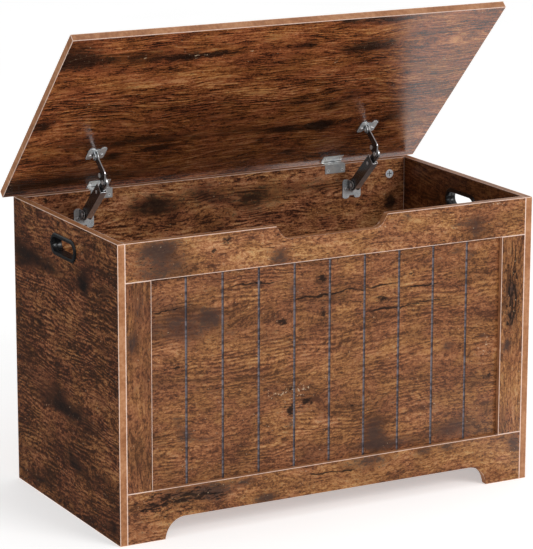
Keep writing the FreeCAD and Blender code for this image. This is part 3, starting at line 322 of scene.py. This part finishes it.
def edged(foil, colour, node, directions, groove):
    """Banded edges, a painted highlight along the arris where the foil turns, or the inside of the
    grooves.
    """
    g, face = foil.graph, directions[0]
    facing = g.math("ABSOLUTE", g.vector("DOT_PRODUCT", g.place.outputs["Normal"], face))
    lines = g.noise(g.vector("MULTIPLY", foil.pos, (160.0, 160.0, 160.0)), 3.0, 0.6)
    haze = g.noise(foil.pos, 2.0, 0.5, scale=22.0)
    band = g.ramp(g.math("MULTIPLY_ADD", haze, 0.5, g.math("MULTIPLY", lines, 0.5)),
                  ((0.38, BAND_DEEP), (0.50, BAND), (0.62, BAND_PALE)))
    # painted highlight on the rounded arris faces between the flat side and the edge
    colour = g.mix(g.step(facing, 0.90, 0.985), ARRIS_HIGHLIGHT, colour)
    colour = g.mix(g.step(facing, 0.06, 0.25), band, colour)
    if groove is None:
        # painted highlight: a pale line along every edge of the board, about ARRIS_WIDE wide give
        # or take the noise
        highlight_reach = g.math("MULTIPLY_ADD", lines, ARRIS_WIDE, ARRIS_WIDE / 2)
        inside = g.math("SUBTRACT", edge_distance(g, node, directions), highlight_reach)
        return g.mix(g.step(inside, -EDGE_SOFT, EDGE_SOFT, 0.75, 0.0), colour, ARRIS_HIGHLIGHT)
    depth = g.vector("DOT_PRODUCT", foil.pos, face)
    slate = g.mix(g.step(foil.streak, 0.4, 0.6), SLATE_DARK, SLATE_PALE)
    return g.mix(g.step(depth, groove - EDGE_SOFT, groove), colour, slate)


def laminate(node, face, along, across, seed, look, origin=0.0, groove=None):
    """Printed rustic oak foil.  face is square to the board's flat side, along its grain."""
    foil = Foil(node, along, across, seed, look, origin)
    g = foil.graph
    black = black_marks(foil)
    colour = g.mix(charcoal(foil), wood_colour(foil), look.char)
    colour = flecked(foil, g.mix(black, colour, PITCH))
    colour = edged(foil, colour, node, (face, along, across), groove)
    rough = g.math("MULTIPLY_ADD", foil.streak, 0.14, look.gloss - 0.05)
    relief = g.math("MULTIPLY_ADD", black, -1.5, g.math("ADD", foil.streak, foil.grit))
    return g.finish(colour, rough, g.bump(relief, 0.22, 0.00018),
                    Specular_IOR_Level=look.specular)


BOARD_STEP = 3.7                       # keeps the noise of two boards apart
WANDER = 0.075                         # how far the grain wanders across a board
TEAR = Vector((0.040, 0.026, 0.0))
WAVER = Vector((0.0, 0.020, 0.0))
LIFT = 0.26
RING_DEPTH = 0.20
RED_TINT = rgb(255, 240, 236)
GOLD_TINT = rgb(255, 252, 224)
PITCH = rgb(24, 15, 12)
CHIP = rgb(196, 170, 140)
# colour of the painted highlight along the boards' edges
ARRIS_HIGHLIGHT = rgb(250, 222, 206)
ARRIS_WIDE = 0.0008
EDGE_SOFT = 0.0002                     # an edge colour fades over this width
SLATE_DARK = rgb(78, 72, 77)           # inside of the grooves
SLATE_PALE = rgb(122, 115, 120)
BAND_DEEP = rgb(150, 98, 64)
BAND = rgb(172, 118, 80)
BAND_PALE = rgb(188, 136, 98)
CHAR_FRONT = rgb(66, 48, 42)
CHAR_DARK = rgb(24, 17, 15)

FRONT_TONES = (rgb(84, 52, 34), rgb(134, 86, 54), rgb(168, 116, 74), rgb(200, 156, 112))
# darker than FRONT_TONES as painted shade of the side panels
SHADED_SIDE_TONES = (rgb(58, 34, 22), rgb(108, 64, 40), rgb(142, 92, 58), rgb(176, 126, 86))
LID_TONES = (rgb(50, 27, 18), rgb(124, 70, 42), rgb(166, 102, 62), rgb(206, 152, 104))
BACK_TONES = (rgb(60, 34, 24), rgb(132, 82, 56), rgb(176, 118, 80), rgb(214, 164, 122))

TOP_RAIL = Print(
    FRONT_TONES, CHAR_FRONT, loose=0.35, ringed=0.35, bias=0.05, contrast=1.25,
    smudges=[(-292, 430, 30, 24, 1), (-300, 455, 24, 9, 0.7), (-91, 418, 14, 10, 0.9),
             (231, 437, 12, 6, 0.8), (258, 428, 11, 13, 0.8), (132, 460, 6, 7, 0.7)],
    knots=[(-179, 455, 8, 4, 1), (-204, 442, 4, 4, 0.8), (-62, 452, 3, 2, 0.6)],
    lifts=[(-144, 435, 46, 12, 0.9), (-199, 452, 26, 10, 0.5)],
    chips=[(301, 462, 18, 2, 0.8)])

FOOT_RAIL = Print(
    FRONT_TONES, CHAR_FRONT, loose=0.3, ringed=0.35, bias=0.01, contrast=1.2,
    smudges=[(-240, 66, 44, 12, 0.7), (-200, 66, 24, 12, 0.6), (-151, 71, 13, 5, 0.9),
             (-114, 40, 18, 7, 0.9), (66, 71, 34, 8, 0.9), (166, 73, 15, 5, 0.9),
             (211, 73, 12, 5, 0.8), (341, 58, 9, 13, 0.9)],
    cracks=[(-8, 64, 34, 1.1, 0.9), (30, 62, 12, 1.2, 0.8)],
    lifts=[(-50, 70, 50, 5, 0.5), (280, 50, 60, 18, 0.45)],
    checks=[(-240, 62, 64, 16, 1), (-312, 50, 34, 20, 0.6)])

BEAD = Print(
    FRONT_TONES, CHAR_FRONT, loose=0.42, ringed=0.7, contrast=1.1, bias=-0.045,
    smudges=[(-262, 330, 62, 22, 0.7), (-204, 337, 14, 12, 0.9), (231, 392, 8, 6, 0.7),
             (256, 384, 8, 8, 0.7), (216, 237, 10, 6, 0.7), (281, 247, 7, 5, 0.6),
             (-262, 181, 7, 12, 0.7), (-249, 157, 11, 9, 0.8), (-214, 147, 16, 5, 0.6),
             (84, 116, 17, 20, 1), (98, 93, 42, 8, 0.9), (226, 100, 26, 10, 0.6),
             (-66, 150, 8, 12, 0.6), (-64, 366, 9, 8, 0.7)],
    knots=[(-14, 373, 7, 7, 1), (-84, 315, 11, 4, 0.9), (-11, 321, 6, 7, 0.8),
           (-16, 306, 6, 4, 0.6), (98, 329, 12, 5, 0.9), (-39, 182, 8, 4, 1),
           (-66, 172, 6, 10, 1), (-82, 178, 7, 4, 0.6), (-66, 206, 4, 4, 0.7),
           (-34, 206, 6, 4, 0.6), (-291, 204, 6, 3, 0.6), (291, 179, 6, 3, 0.9),
           (-264, 265, 6, 3, 0.7)],
    cracks=[(-137, 381, 38, 1.1, 1), (-34, 348, 34, 1.2, 1), (28, 350, 34, 1.2, 1),
            (86, 353, 32, 1.1, 0.9), (82, 313, 28, 1.2, 1), (128, 315, 30, 1.3, 1),
            (176, 318, 28, 1.1, 1), (168, 344, 32, 1.2, 1), (-280, 358, 28, 1, 0.8)],
    lifts=[(20, 385, 34, 12, 0.6)],
    rings=[(-250, 348, 56, 16, 0.55)],
    chips=[(-78, 200, 26, 8, 0.8), (-42, 205, 14, 5, 0.6), (286, 230, 12, 14, 0.5)])

LEFT_STILE = Print(
    FRONT_TONES, CHAR_FRONT, loose=0.3, ringed=0.35, contrast=0.95, bias=-0.08,
    smudges=[(315, -341, 12, 8, 0.9), (366, -331, 24, 6, 0.6)])

RIGHT_STILE = Print(
    FRONT_TONES, CHAR_FRONT, loose=0.3, ringed=0.3, check_size=(11, 5), contrast=1.15, bias=-0.06,
    smudges=[(317, 328, 12, 9, 0.8), (277, 328, 18, 9, 0.8), (230, 322, 8, 7, 0.8),
             (222, 318, 9, 9, 0.6)],
    cracks=[(362, 334, 26, 1.2, 0.8), (382, 328, 16, 1, 0.7), (300, 336, 26, 1.4, 1),
            (284, 329, 18, 1.4, 1), (322, 326, 14, 1.4, 1)],
    checks=[(306, 330, 54, 12, 1)],
    lifts=[(150, 330, 60, 16, 0.6)])

LEFT_SIDE = Print(
    SHADED_SIDE_TONES, CHAR_DARK, loose=0.5, ringed=0.9, grit=(13, 3.4), bias=-0.06, contrast=1.6,
    specular=0.12,
    smudges=[(-79, 382, 20, 13, 1.2), (-144, 387, 20, 10, 0.6), (-186, 402, 12, 7, 0.6),
             (36, 382, 22, 10, 0.6), (130, 383, 54, 14, 0.8), (-85, 326, 20, 7, 0.7),
             (86, 283, 14, 7, 0.8), (-6, 166, 90, 12, 1.1), (60, 187, 56, 8, 0.6),
             (-189, 153, 14, 5, 0.6), (-44, 84, 18, 10, 1), (-24, 96, 13, 10, 0.7),
             (-149, 94, 8, 5, 0.6), (-179, 22, 18, 10, 0.8), (101, 22, 28, 7, 0.6)],
    knots=[(-121, 447, 9, 5, 0.8), (-188, 404, 7, 4, 0.7), (-79, 378, 9, 7, 0.7),
           (-66, 430, 12, 3, 0.6), (-92, 326, 12, 3, 0.6)],
    rings=[(-20, 322, 190, 26, 0.7), (-130, 262, 90, 12, 0.9), (20, 262, 100, 7, 0.7),
           (-150, 243, 50, 14, 0.6), (100, 285, 70, 12, 0.5)],
    lifts=[(-152, 286, 24, 6, 0.8), (51, 275, 17, 5, 1), (126, 430, 50, 16, 0.8),
           (-90, 57, 60, 5, 0.6)],
    chips=[(166, 389, 5, 3, 0.6), (-126, 194, 4, 3, 0.6)])

RIGHT_SIDE = Print(
    SHADED_SIDE_TONES, CHAR_DARK, loose=0.5, ringed=0.9, grit=(13, 3.4), bias=0.05, contrast=1.35,
    specular=0.25)

BACK = Print(
    BACK_TONES, CHAR_DARK, loose=0.45, ringed=1.0, grit=(14, 3.2), bias=0.07, contrast=1.35,
    specular=0.25, ring_bend=60.0,
    smudges=[(-120, 430, 34, 14, 1.2), (60, 425, 46, 20, 0.9), (-30, 440, 30, 14, 0.8),
             (180, 432, 40, 10, 0.6), (325, 392, 8, 12, 1.2)],
    knots=[(-316, 458, 4, 4, 1), (128, 428, 5, 4, 0.7)])
FLOOR_PRINT = Print(
    BACK_TONES, CHAR_DARK, loose=0.5, ringed=0.3, specular=0.25)

LID = Print(
    LID_TONES, CHAR_DARK, loose=0.5, ringed=0.6, bias=0.02, contrast=1.12, grit=(22, 3.6),
    streak=0.9, gloss=0.24, specular=0.5, ring_pitch=6.5,
    smudges=[(-365, 358, 40, 26, 0.9), (-330, 340, 52, 14, 0.6), (-250, 345, 70, 12, 0.6),
             (-180, 336, 50, 6, 0.8), (-110, 336, 26, 6, 1.2), (32, 340, 20, 10, 0.7),
             (90, 396, 14, 7, 0.9), (150, 393, 44, 8, 0.9), (170, 325, 38, 12, 0.9),
             (130, 320, 26, 8, 0.6), (-365, 182, 12, 13, 1), (135, 210, 18, 6, 0.7),
             (85, 185, 20, 6, 0.8), (150, 168, 18, 10, 0.9), (175, 186, 14, 11, 0.7),
             (155, 113, 22, 11, 1.5), (95, 110, 44, 7, 0.9), (-60, 118, 130, 9, 0.6),
             (-250, 125, 70, 11, 0.6), (-130, 95, 20, 4, 1), (-157, 94, 14, 3, 0.8),
             (-215, 82, 13, 9, 1.1), (52, 90, 11, 7, 0.9), (117, 44, 11, 6, 0.8),
             (172, 62, 8, 6, 0.6), (-320, 25, 54, 12, 0.9), (-370, 22, 20, 20, 0.8),
             (-210, 30, 54, 11, 0.6), (280, 115, 20, 10, 0.7), (225, 80, 12, 5, 0.6)],
    knots=[(-187, 308, 8, 5, 0.9), (-282, 308, 7, 3, 0.8), (50, 338, 7, 4, 1),
           (-220, 242, 6, 6, 0.7), (-132, 337, 6, 3, 0.6), (-300, 166, 3, 2, 0.8),
           (52, 88, 6, 5, 0.7), (-125, 94, 8, 3, 0.6), (155, 112, 12, 7, 0.6)],
    rings=[(-40, 228, 330, 18, 0.9), (-330, 215, 50, 30, 0.5), (-140, 257, 240, 7, 0.6),
           (100, 192, 150, 8, 0.5), (-350, 225, 24, 16, 0.5)],
    cracks=[(30, 196, 60, 1.3, 0.9), (-100, 203, 60, 1.3, 0.8), (150, 232, 70, 1.2, 0.8),
            (-260, 222, 40, 1.3, 0.8), (100, 185, 60, 1.2, 0.7)],
    lifts=[(-250, 270, 130, 10, 0.8), (-300, 285, 70, 9, 0.5), (-120, 280, 56, 12, 0.6),
           (20, 362, 110, 20, 0.45), (40, 212, 44, 8, 0.7), (110, 140, 90, 10, 0.5),
           (330, 60, 40, 26, 0.6)],
    chips=[(-157, 335, 8, 6, 0.9), (-135, 337, 3, 3, 1.2), (-242, 340, 2, 2, 1.4),
           (-57, 335, 2, 3, 1.3), (105, 216, 3, 3, 1.3), (112, 287, 3, 4, 1.2),
           (151, 320, 2, 2, 1.2), (320, 270, 4, 5, 1), (312, 255, 4, 3, 1), (200, 325, 2, 2, 1.2),
           (-137, 280, 8, 3, 0.5), (-197, 365, 3, 2, 1)])


# ------------------------------------------------------------------ metals and plastic
CREVICE = 0.0022                       # how far the painted crevice shade reaches out of a corner
# colour of the painted crevice shade
CREVICE_SHADE = rgb(44, 46, 50)
SCRATCHES = (300.0, 300.0, 300.0)


def metal(name, pale, dull, rough, metallic=0.9, painted_side_shade=None):
    """Plated or bare steel, with painted shade in its crevices.  painted_side_shade is a painted
    shade colour for the faces of a plate that look along X.
    """
    g = Graph(name)
    pos = g.place.outputs["Object"]
    cloud = g.noise(pos, 4.0, 0.6, scale=90.0)
    scratch = g.noise(g.vector("MULTIPLY", pos, SCRATCHES), 4.0, 0.7, scale=4.0)
    colour = g.mix(g.step(cloud, 0.40, 0.64), pale, dull)
    if painted_side_shade is not None:
        # painted shade: faces of the plate that look along X take the painted_side_shade colour
        shaded_facing = g.math("ABSOLUTE", g.vector("DOT_PRODUCT", g.place.outputs["Normal"], X))
        colour = g.mix(g.step(shaded_facing, 0.45, 0.92), colour, painted_side_shade)
    # painted shade: ambient occlusion darkens the metal in crevices, recesses and where parts meet
    crevice_occlusion = g.add("ShaderNodeAmbientOcclusion", samples=8)
    crevice_occlusion.inputs["Distance"].default_value = CREVICE
    colour = g.mix(g.step(crevice_occlusion.outputs["AO"], 0.35, 0.95), CREVICE_SHADE, colour)
    shine = g.math("MULTIPLY_ADD", scratch, 0.14, g.math("MULTIPLY_ADD", cloud, 0.10, rough))
    normal = g.bump(g.math("ADD", scratch, cloud), 0.12, 0.0001)
    return g.finish(colour, shine, normal, Metallic=metallic, Specular_IOR_Level=0.8)


def plastic(name, colour, sheen, rough):
    g = Graph(name)
    pos = g.place.outputs["Object"]
    grain = g.noise(pos, 2.0, 0.6, scale=2600.0)
    cloud = g.noise(pos, 3.0, 0.6, scale=70.0)
    tint = g.mix(g.step(cloud, 0.4, 0.65), colour, sheen)
    shine = g.math("MULTIPLY_ADD", cloud, 0.14, rough)
    return g.finish(tint, shine, g.bump(grain, 0.15, 0.00005))


def bare_wood(name):
    g = Graph(name)
    pos = g.place.outputs["Object"]
    grain = g.noise(g.vector("MULTIPLY", pos, (30.0, 500.0, 500.0)), 4.0, 0.6)
    colour = g.ramp(grain, ((0.35, rgb(176, 138, 94)), (0.65, rgb(214, 180, 134))))
    return g.finish(colour, 0.6, g.bump(grain, 0.2, 0.0002))


# ------------------------------------------------------------------ dress the CAD nodes
WELD_GAP = 0.00001
FLAT_ANGLE = math.radians(0.5)         # triangles that differ by less become one face
SHARP_ANGLE = math.radians(40)         # edges sharper than this are rounded


def soften(node, width, segments):
    """Weld the shading splits of a CAD node, merge flat triangles, round sharp edges."""
    weld = node.modifiers.new("weld", "WELD")
    weld.merge_threshold = WELD_GAP
    flatten = node.modifiers.new("flatten", "DECIMATE")
    flatten.decimate_type = "DISSOLVE"
    flatten.angle_limit = FLAT_ANGLE
    bevel = node.modifiers.new("arris", "BEVEL")
    bevel.width = width
    bevel.segments = segments
    bevel.limit_method = "ANGLE"
    bevel.angle_limit = SHARP_ANGLE
    bevel.harden_normals = True


def dress(names, material, round_by=None, segments=2):
    for name in names:
        node = NODES[name]
        node.data.materials.clear()
        node.data.materials.append(material)
        if round_by:
            soften(node, round_by, segments)


SIDES = ("left", "right")
PANEL_ARRIS = 0.0015
GROOVE_SKIN = 0.0004                   # groove colour is full this far behind the face
LID_ORIGIN = 0.2056                    # place along LID_UP that the lid's print counts from

for side, seed, look in zip(SIDES, (11, 12), (LEFT_SIDE, RIGHT_SIDE)):
    dress([side + "_side_panel"], laminate(side + "_side_panel", X, Y, Z, seed, look),
          PANEL_ARRIS, 3)
dress(["back_panel"], laminate("back_panel", Y, X, Z, 21, BACK), PANEL_ARRIS, 3)
dress(["bottom_panel"], laminate("bottom_panel", Z, X, Y, 31, FLOOR_PRINT), PANEL_ARRIS, 3)
dress(["front_top_rail"], laminate("front_top_rail", Y, X, Z, 41, TOP_RAIL), PANEL_ARRIS, 3)
dress(["front_bottom_rail"], laminate("front_bottom_rail", Y, X, Z, 42, FOOT_RAIL), PANEL_ARRIS, 3)
for side, seed, look in zip(SIDES, (51, 52), (LEFT_STILE, RIGHT_STILE)):
    dress([side + "_stile"], laminate(side + "_stile", Y, Z, X, seed, look), PANEL_ARRIS, 3)
bead_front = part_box("beadboard_panel")[0].y
dress(["beadboard_panel"], laminate("beadboard_panel", Y, X, Z, 61, BEAD,
                                    groove=bead_front + GROOVE_SKIN))
dress(["lid_panel"], laminate("lid_panel", LID_OUT, X, LID_UP, 71, LID, origin=LID_ORIGIN),
      PANEL_ARRIS, 3)

nickel = metal("nickel_plate_finish", rgb(255, 255, 252), rgb(226, 228, 230), 0.10, 0.55)
bright = metal("bright_screw_finish", rgb(255, 255, 255), rgb(240, 242, 244), 0.10, 0.30)
# the last colour given to the stay and bracket plates is their painted side shade
stay_metal = metal("stay_plate_finish", rgb(255, 255, 255), rgb(228, 232, 235), 0.12, 0.70,
                   rgb(104, 106, 108))
bracket_metal = metal("bracket_plate_finish", rgb(255, 255, 255), rgb(222, 228, 232), 0.14, 0.35,
                      rgb(140, 143, 146))
zinc = metal("zinc_finish", rgb(255, 255, 255), rgb(222, 232, 244), 0.20, 0.25)
spring_steel = metal("spring_steel_finish", rgb(170, 172, 176), rgb(130, 132, 136), 0.26)
black = plastic("black_plastic_finish", rgb(14, 14, 16), rgb(24, 24, 26), 0.22)
beech = bare_wood("beech_dowel_finish")

dress(["dowels"], beech)
dress(["cam_bolts", "cam_nuts"], zinc, 0.0004)
dress(["hinge_box_screws", "hinge_lid_screws", "stay_box_screws", "stay_lid_screws"], bright,
      0.00012)
for side in SIDES:
    dress(["%s_handle_%s_ring" % (side, face) for face in ("outer", "inner")], black, 0.0005, 3)
    dress([side + "_hinge_box_leaf", side + "_hinge_lid_leaf"], nickel, 0.00025)
    dress([side + "_hinge_pin"], zinc)
    dress([side + "_stay_upper_arm"], stay_metal, 0.0009, 4)
    dress(["%s_stay_%s" % (side, part) for part in ("foot_bracket", "lid_bracket")],
          bracket_metal, 0.0006, 3)
    dress(["%s_stay_%s" % (side, part) for part in ("inner_bar", "casing")], stay_metal,
          0.0005, 3)
    dress(["%s_stay_%s" % (side, part) for part in
           ("foot_pin", "lid_pin", "slide_rivet", "elbow_rivets")], bright, 0.0004, 3)
    dress(["%s_stay_%s" % (side, part) for part in ("spring_seat", "adjuster", "spring")],
          spring_steel)


# ------------------------------------------------------------------ floor, light, camera
def stage_sheet(name, corners, glow):
    """Flat pale sheet of the stage, self-lit by glow."""
    g = Graph(name + "_paper")
    cloud = g.noise(g.place.outputs["Object"], 4.0, 0.6, scale=1.5)
    colour = g.mix(g.step(cloud, 0.3, 0.7), rgb(247, 247, 247), rgb(251, 251, 251))
    material = g.finish(colour, 0.8, Emission_Color=(1, 1, 1, 1), Emission_Strength=glow,
                        Specular_IOR_Level=0.1)
    (x0, y0), (x1, y1), z = corners
    mesh = bpy.data.meshes.new(name)
    mesh.from_pydata([(x0, y0, z), (x1, y0, z), (x1, y1, z), (x0, y1, z)], [], [(0, 1, 2, 3)])
    sheet = bpy.data.objects.new(name, mesh)
    sheet.data.materials.append(material)
    bpy.context.scene.collection.objects.link(sheet)
    return sheet


def area_light(name, place, target, size, power):
    light = bpy.data.lights.new(name, "AREA")
    light.shape = "RECTANGLE"
    light.size, light.size_y = size
    light.energy = power
    lamp = bpy.data.objects.new(name, light)
    lamp.location = place
    lamp.rotation_euler = (Vector(target) - Vector(place)).to_track_quat("-Z", "Y").to_euler()
    bpy.context.scene.collection.objects.link(lamp)


FLOOR_HALF = 9.0
FLOOR_DROP = -0.0004
FLOOR_GLOW = 0.42                      # keeps the floor white
SHINE_CORNERS = ((0.37, -0.6), (1.6, 1.2))
SHINE_GLOW = 0.9
SKY_HEIGHTS = (-0.10, 0.45)            # Z of a direction at which the sky stops changing
SKY_STRENGTHS = (0.12, 0.62)
KEY_PLACE = (1.3, -3.4, 2.3)
KEY_TARGET = (0, 0, 0.3)
KEY_SIZE = (1.8, 1.4)
KEY_POWER = 60

floor = stage_sheet("floor", ((-FLOOR_HALF, -FLOOR_HALF), (FLOOR_HALF, FLOOR_HALF), FLOOR_DROP),
                    FLOOR_GLOW)
floor.visible_glossy = False
# glowing sheet hidden from the camera, whose reflection makes the grey veil on the lid
shine = stage_sheet("floor_shine", (*SHINE_CORNERS, 2 * FLOOR_DROP), SHINE_GLOW)
shine.visible_camera = False
shine.visible_diffuse = False

world = bpy.data.worlds.new("studio")
world.use_nodes = True
sky = world.node_tree
direction = sky.nodes.new("ShaderNodeTexCoord")
split = sky.nodes.new("ShaderNodeSeparateXYZ")
sky.nodes["Background"].inputs[0].default_value = (1, 1, 1, 1)
height = sky.nodes.new("ShaderNodeMapRange")
height.interpolation_type = "SMOOTHSTEP"
for socket, number in zip(height.inputs[1:], SKY_HEIGHTS + SKY_STRENGTHS):
    socket.default_value = number
sky.links.new(direction.outputs["Generated"], split.inputs[0])
sky.links.new(split.outputs[2], height.inputs[0])
sky.links.new(height.outputs[0], sky.nodes["Background"].inputs[1])
bpy.context.scene.world = world
area_light("key", KEY_PLACE, KEY_TARGET, KEY_SIZE, KEY_POWER)

LENS = 181.54
SENSOR_WIDTH = 36.0
CLIP_END = 50
CAMERA_PLACE = (-2.0492, -3.78625, 1.38737)
PHOTO_AZIMUTH = math.radians(-28.337)
PHOTO_ELEVATION = math.radians(13.692)
PHOTO_ROLL = math.radians(0.126)
camera_data = bpy.data.cameras.new("photo_view")
camera_data.lens = LENS
camera_data.sensor_width = SENSOR_WIDTH
camera_data.clip_end = CLIP_END
camera = bpy.data.objects.new("photo_view", camera_data)
camera.location = CAMERA_PLACE
back = Vector((math.sin(PHOTO_AZIMUTH) * math.cos(PHOTO_ELEVATION),
               -math.cos(PHOTO_AZIMUTH) * math.cos(PHOTO_ELEVATION),
               math.sin(PHOTO_ELEVATION)))
camera.rotation_mode = "QUATERNION"
camera.rotation_quaternion = back.to_track_quat("Z", "Y") @ Quaternion((0, 0, 1), PHOTO_ROLL)
bpy.context.scene.collection.objects.link(camera)
bpy.context.scene.camera = camera
bpy.context.scene.view_settings.view_transform = "Standard"
